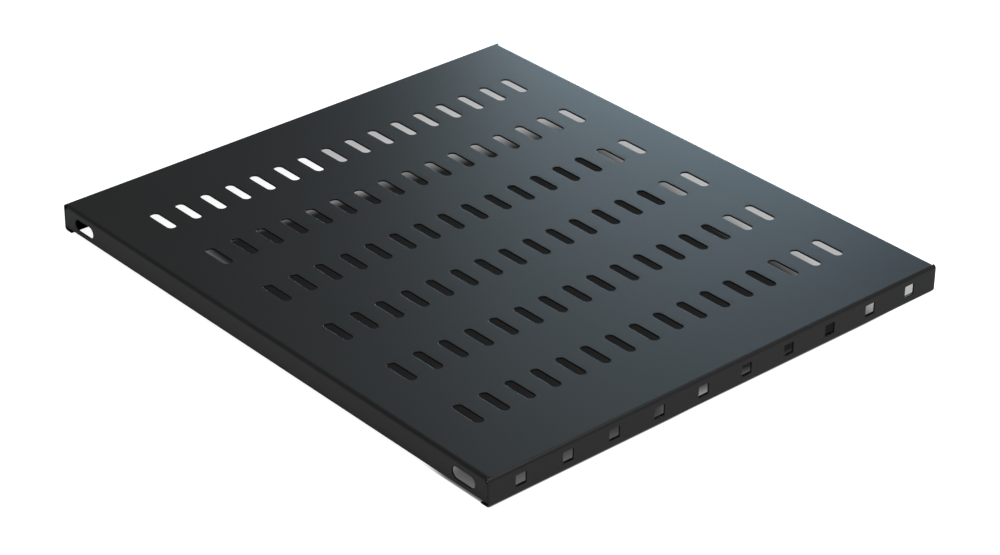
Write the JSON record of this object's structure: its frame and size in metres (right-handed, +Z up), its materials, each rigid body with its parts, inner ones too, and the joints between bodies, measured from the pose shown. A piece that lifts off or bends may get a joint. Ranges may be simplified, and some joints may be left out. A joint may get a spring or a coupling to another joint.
{
  "type": "rack shelf",
  "caption": "Flat rack shelf folded from one dark coated steel sheet, with vent slots in the top, square holes along front and back, and long screw holes in the sides.",
  "frame": {"origin": "centre of the footprint on the underside of the lips, the plane the shelf rests on", "axes": "+X across the rack to the right as seen from the front, +Y from the front flange to the back flange, +Z up"},
  "size_m": [0.465, 0.525, 0.024],
  "materials": {
    "dark_powder_coat": "satin"
  },
  "bodies": {
    "root": {"shelf_tray": "dark_powder_coat"}
  },
  "joints": []
}
